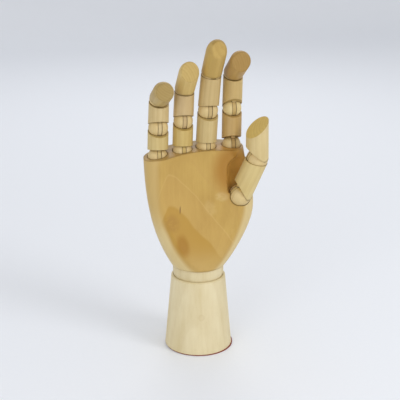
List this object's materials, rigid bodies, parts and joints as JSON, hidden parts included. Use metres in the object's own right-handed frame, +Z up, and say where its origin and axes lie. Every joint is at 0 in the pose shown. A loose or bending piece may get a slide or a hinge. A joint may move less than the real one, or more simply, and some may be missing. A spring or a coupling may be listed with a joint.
{
  "type": "jointed wooden hand mannequin",
  "caption": "Jointed wooden hand model on a round tapered foot, with bending fingers and thumb, for posing and display.",
  "frame": {"origin": "centre of the flat face under the pad that the hand stands on", "axes": "+Z up along the forearm to the fingers, -Y out of the palm, +X to the thumb's side"},
  "size_m": [0.112, 0.0703, 0.2974],
  "materials": {
    "palm_wood": "fine sanded, unvarnished",
    "finger_wood": "fine sanded, unvarnished",
    "thumb_wood": "fine sanded, unvarnished",
    "ball_wood": "turned, unvarnished",
    "pale_wood": "turned, unvarnished",
    "pin_steel": "drawn wire",
    "pad_felt": "thin felt"
  },
  "bodies": {
    "foot": {"foot": "pale_wood", "base_pad": "pad_felt", "wrist_washer": "pin_steel"},
    "wrist": {"wrist_ball": "pale_wood", "wrist_pin": "pin_steel", "wrist_bolt": "pin_steel"},
    "palm": {"palm": "palm_wood"},
    "little_knuckle": {"little_knuckle_ball": "ball_wood", "little_knuckle_pin": "pin_steel"},
    "little_near": {"little_near": "finger_wood", "little_middle_joint_ball": "ball_wood", "little_middle_joint_pin": "pin_steel"},
    "little_middle": {"little_middle": "finger_wood", "little_end_joint_ball": "ball_wood", "little_end_joint_pin": "pin_steel"},
    "little_tip": {"little_tip": "finger_wood"},
    "ring_knuckle": {"ring_knuckle_ball": "ball_wood", "ring_knuckle_pin": "pin_steel"},
    "ring_near": {"ring_near": "finger_wood", "ring_middle_joint_ball": "ball_wood", "ring_middle_joint_pin": "pin_steel"},
    "ring_middle": {"ring_middle": "finger_wood", "ring_end_joint_ball": "ball_wood", "ring_end_joint_pin": "pin_steel"},
    "ring_tip": {"ring_tip": "finger_wood"},
    "middle_knuckle": {"middle_knuckle_ball": "ball_wood", "middle_knuckle_pin": "pin_steel"},
    "middle_near": {"middle_near": "finger_wood", "middle_middle_joint_ball": "ball_wood", "middle_middle_joint_pin": "pin_steel"},
    "middle_middle": {"middle_middle": "finger_wood", "middle_end_joint_ball": "ball_wood", "middle_end_joint_pin": "pin_steel"},
    "middle_tip": {"middle_tip": "finger_wood"},
    "index_knuckle": {"index_knuckle_ball": "ball_wood", "index_knuckle_pin": "pin_steel"},
    "index_near": {"index_near": "finger_wood", "index_middle_joint_ball": "ball_wood", "index_middle_joint_pin": "pin_steel"},
    "index_middle": {"index_middle": "finger_wood", "index_end_joint_ball": "ball_wood", "index_end_joint_pin": "pin_steel"},
    "index_tip": {"index_tip": "finger_wood"},
    "thumb_root": {"thumb_root_ball": "ball_wood", "thumb_root_pin": "pin_steel"},
    "thumb_near": {"thumb_near": "thumb_wood", "thumb_joint_ball": "ball_wood", "thumb_joint_pin": "pin_steel"},
    "thumb_tip": {"thumb_tip": "thumb_wood"}
  },
  "joints": [
    {"name": "wrist_turn", "type": "hinge", "parent": "foot", "child": "wrist", "pos_m": [0, 0, 0.078], "axis": [0, 0, 1], "range_deg": [-60, 60]},
    {"name": "wrist_bend", "type": "hinge", "parent": "wrist", "child": "palm", "pos_m": [0, 0, 0.078], "axis": [1, 0, 0], "range_deg": [-18, 18]},
    {"name": "little_knuckle_turn", "type": "hinge", "parent": "palm", "child": "little_knuckle", "pos_m": [-0.03775, 0, 0.19001], "axis": [0.0349, 0, 0.9994], "range_deg": [-12, 12]},
    {"name": "little_knuckle_bend", "type": "hinge", "parent": "little_knuckle", "child": "little_near", "pos_m": [-0.03775, 0, 0.19001], "axis": [0.9994, 0.0087, -0.0349], "range_deg": [0, 28]},
    {"name": "little_middle_bend", "type": "hinge", "parent": "little_near", "child": "little_middle", "pos_m": [-0.03682, 0.00047, 0.21689], "axis": [0.9994, 0.0087, -0.0349], "range_deg": [-3, 73]},
    {"name": "little_end_bend", "type": "hinge", "parent": "little_middle", "child": "little_tip", "pos_m": [-0.03591, 0.00002, 0.24277], "axis": [0.9994, 0.0087, -0.0349], "range_deg": [-60, 8]},
    {"name": "ring_knuckle_turn", "type": "hinge", "parent": "palm", "child": "ring_knuckle", "pos_m": [-0.01475, 0, 0.19373], "axis": [0.0366, 0, 0.9993], "range_deg": [-12, 12]},
    {"name": "ring_knuckle_bend", "type": "hinge", "parent": "ring_knuckle", "child": "ring_near", "pos_m": [-0.01475, 0, 0.19373], "axis": [0.9992, -0.0175, -0.0366], "range_deg": [0, 28]},
    {"name": "ring_middle_bend", "type": "hinge", "parent": "ring_near", "child": "ring_middle", "pos_m": [-0.01372, 0.00049, 0.22171], "axis": [0.9992, -0.0175, -0.0366], "range_deg": [-4.5, 71.5]},
    {"name": "ring_end_bend", "type": "hinge", "parent": "ring_middle", "child": "ring_tip", "pos_m": [-0.01269, -0.00075, 0.25016], "axis": [0.9992, -0.0175, -0.0366], "range_deg": [-39, 6]},
    {"name": "middle_knuckle_turn", "type": "hinge", "parent": "palm", "child": "middle_knuckle", "pos_m": [0.0074, 0, 0.19679], "axis": [0.0454, 0, 0.999], "range_deg": [-12, 12]},
    {"name": "middle_knuckle_bend", "type": "hinge", "parent": "middle_knuckle", "child": "middle_near", "pos_m": [0.0074, 0, 0.19679], "axis": [0.9986, 0.0262, -0.0453], "range_deg": [-3, 28]},
    {"name": "middle_middle_bend", "type": "hinge", "parent": "middle_near", "child": "middle_middle", "pos_m": [0.00896, -0.00118, 0.23044], "axis": [0.9986, 0.0262, -0.0453], "range_deg": [-7, 69]},
    {"name": "middle_end_bend", "type": "hinge", "parent": "middle_middle", "child": "middle_tip", "pos_m": [0.01063, -0.00598, 0.26456], "axis": [0.9986, 0.0262, -0.0453], "range_deg": [-22.5, 7.5]},
    {"name": "index_knuckle_turn", "type": "hinge", "parent": "palm", "child": "index_knuckle", "pos_m": [0.0315, 0, 0.19689], "axis": [0.0175, 0, 0.9998], "range_deg": [-8, 12]},
    {"name": "index_knuckle_bend", "type": "hinge", "parent": "index_knuckle", "child": "index_near", "pos_m": [0.0315, 0, 0.19689], "axis": [0.9998, 0.0087, -0.0175], "range_deg": [0, 28]},
    {"name": "index_middle_bend", "type": "hinge", "parent": "index_near", "child": "index_middle", "pos_m": [0.03209, 0.00089, 0.23088], "axis": [0.9998, 0.0087, -0.0175], "range_deg": [-3.5, 72.5]},
    {"name": "index_end_bend", "type": "hinge", "parent": "index_middle", "child": "index_tip", "pos_m": [0.03265, 0.00033, 0.26297], "axis": [0.9998, 0.0087, -0.0175], "range_deg": [-55, 5]},
    {"name": "thumb_root_turn", "type": "hinge", "parent": "palm", "child": "thumb_root", "pos_m": [0.0376, -0.0095, 0.15014], "axis": [-0.3299, 0.2267, -0.9164], "range_deg": [-30, 10]},
    {"name": "thumb_root_bend", "type": "hinge", "parent": "thumb_root", "child": "thumb_near", "pos_m": [0.0376, -0.0095, 0.15014], "axis": [-0.0878, 0.9592, 0.2688], "range_deg": [-14, 3]},
    {"name": "thumb_joint_bend", "type": "hinge", "parent": "thumb_near", "child": "thumb_tip", "pos_m": [0.05083, -0.01859, 0.18689], "axis": [-0.0878, 0.9592, 0.2688], "range_deg": [-29, 26]}
  ]
}
